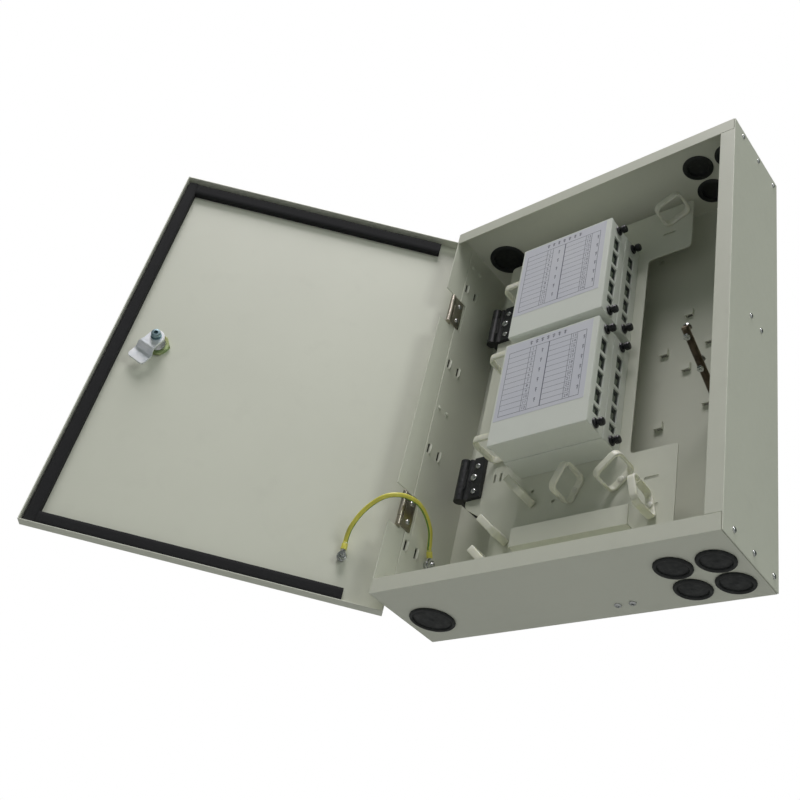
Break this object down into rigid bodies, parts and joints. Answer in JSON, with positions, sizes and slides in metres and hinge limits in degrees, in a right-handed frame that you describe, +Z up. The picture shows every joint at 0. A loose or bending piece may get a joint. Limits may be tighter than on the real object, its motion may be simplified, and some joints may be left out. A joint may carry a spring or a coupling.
{
  "type": "wall-mount fiber termination box",
  "caption": "Wall-mount steel fibre termination box with a hinged, lockable door and a swing-out tray of splice cassettes, cable rings and rubber cable grommets.",
  "frame": {"origin": "centre of the box's back face, where it meets the wall", "axes": "+Z up, +Y into the wall, +X to the right as seen from the room; the door is shown open at rest"},
  "size_m": [0.6231, 0.3414, 0.511],
  "materials": {
    "paint": "fine-textured pale grey-beige powder coat",
    "cassette_paint": "smooth pale grey powder coat",
    "nickel": "bright nickel plate",
    "yellow_zinc": "pale yellow-green passivated zinc plate",
    "dark_steel": "dark oxide steel",
    "grommet_rubber": "soft black moulded rubber",
    "foam": "closed-cell black sealing foam",
    "black_plastic": "moulded black nylon, half gloss",
    "nylon": "natural white nylon, half matt",
    "lead_jacket": "yellow PVC with a green stripe"
  },
  "bodies": {
    "enclosure": {"back_shell": "paint", "left_wall": "paint", "right_cover": "paint", "liner_plate": "paint", "grommet_bottom_large": "grommet_rubber", "grommet_bottom_1": "grommet_rubber", "grommet_bottom_2": "grommet_rubber", "grommet_bottom_3": "grommet_rubber", "grommet_bottom_4": "grommet_rubber", "grommet_top_large": "grommet_rubber", "grommet_top_1": "grommet_rubber", "grommet_top_2": "grommet_rubber", "grommet_top_3": "grommet_rubber", "grommet_top_4": "grommet_rubber", "clamp_post": "dark_steel", "clamp_screw_1": "nickel", "clamp_screw_2": "nickel", "wall_ground_stud": "nickel", "lead_terminal_wall": "nickel", "ground_lead": "lead_jacket", "door_hinge_leaf_lower": "nickel", "door_hinge_leaf_upper": "nickel", "tray_hinge_base_lower": "black_plastic", "tray_hinge_base_upper": "black_plastic"},
    "door": {"door_panel": "paint", "door_gasket": "foam", "door_hinge_strap_lower": "paint", "door_hinge_strap_upper": "paint", "door_ground_stud": "nickel", "lead_terminal_door": "nickel", "lock_housing": "nickel", "lock_nut": "yellow_zinc"},
    "lock": {"lock_plug": "nickel", "lock_cam": "yellow_zinc", "lock_cam_screw": "dark_steel"},
    "tray": {"tray_plate": "paint", "tray_hinge_leaf_lower": "black_plastic", "tray_hinge_leaf_upper": "black_plastic", "cassette_lower_front": "cassette_paint", "cassette_lower_rear": "cassette_paint", "cassette_upper_front": "cassette_paint", "cassette_upper_rear": "cassette_paint", "ring_left_upper": "nylon", "ring_left_middle": "nylon", "ring_left_lower": "nylon", "ring_corner_left": "nylon", "ring_bottom_middle": "nylon", "ring_bottom_right": "nylon", "ring_lip_right": "nylon", "ring_lip_left": "nylon", "ring_foot_left": "nylon", "ring_top_right": "nylon"},
    "plunger_lower_front_bottom": {"plunger_lower_front_bottom": "black_plastic"},
    "plunger_lower_front_top": {"plunger_lower_front_top": "black_plastic"},
    "plunger_lower_rear_bottom": {"plunger_lower_rear_bottom": "black_plastic"},
    "plunger_lower_rear_top": {"plunger_lower_rear_top": "black_plastic"},
    "plunger_upper_front_bottom": {"plunger_upper_front_bottom": "black_plastic"},
    "plunger_upper_front_top": {"plunger_upper_front_top": "black_plastic"},
    "plunger_upper_rear_bottom": {"plunger_upper_rear_bottom": "black_plastic"},
    "plunger_upper_rear_top": {"plunger_upper_rear_top": "black_plastic"}
  },
  "joints": [
    {"name": "door_hinge", "type": "hinge", "parent": "enclosure", "child": "door", "pos_m": [-0.1775, -0.0885, 0], "axis": [0, 0, -1], "range_deg": [-134.2, 2.5], "deforming": ["ground_lead"]},
    {"name": "lock_turn", "type": "hinge", "parent": "door", "child": "lock", "pos_m": [-0.40402, -0.30063, -0.0055], "axis": [0.7169, -0.6972, 0], "range_deg": [-66, 24]},
    {"name": "tray_swing", "type": "hinge", "parent": "enclosure", "child": "tray", "pos_m": [-0.1455, -0.041, 0], "axis": [0, 0, -1], "range_deg": [0, 70]},
    {"name": "pull_lower_front_bottom", "type": "slide", "parent": "tray", "child": "plunger_lower_front_bottom", "axis": [1, 0, 0], "range_m": [0, 0.004]},
    {"name": "pull_lower_front_top", "type": "slide", "parent": "tray", "child": "plunger_lower_front_top", "axis": [1, 0, 0], "range_m": [0, 0.004]},
    {"name": "pull_lower_rear_bottom", "type": "slide", "parent": "tray", "child": "plunger_lower_rear_bottom", "axis": [1, 0, 0], "range_m": [0, 0.004]},
    {"name": "pull_lower_rear_top", "type": "slide", "parent": "tray", "child": "plunger_lower_rear_top", "axis": [1, 0, 0], "range_m": [0, 0.004]},
    {"name": "pull_upper_front_bottom", "type": "slide", "parent": "tray", "child": "plunger_upper_front_bottom", "axis": [1, 0, 0], "range_m": [0, 0.004]},
    {"name": "pull_upper_front_top", "type": "slide", "parent": "tray", "child": "plunger_upper_front_top", "axis": [1, 0, 0], "range_m": [0, 0.004]},
    {"name": "pull_upper_rear_bottom", "type": "slide", "parent": "tray", "child": "plunger_upper_rear_bottom", "axis": [1, 0, 0], "range_m": [0, 0.004]},
    {"name": "pull_upper_rear_top", "type": "slide", "parent": "tray", "child": "plunger_upper_rear_top", "axis": [1, 0, 0], "range_m": [0, 0.004]}
  ]
}
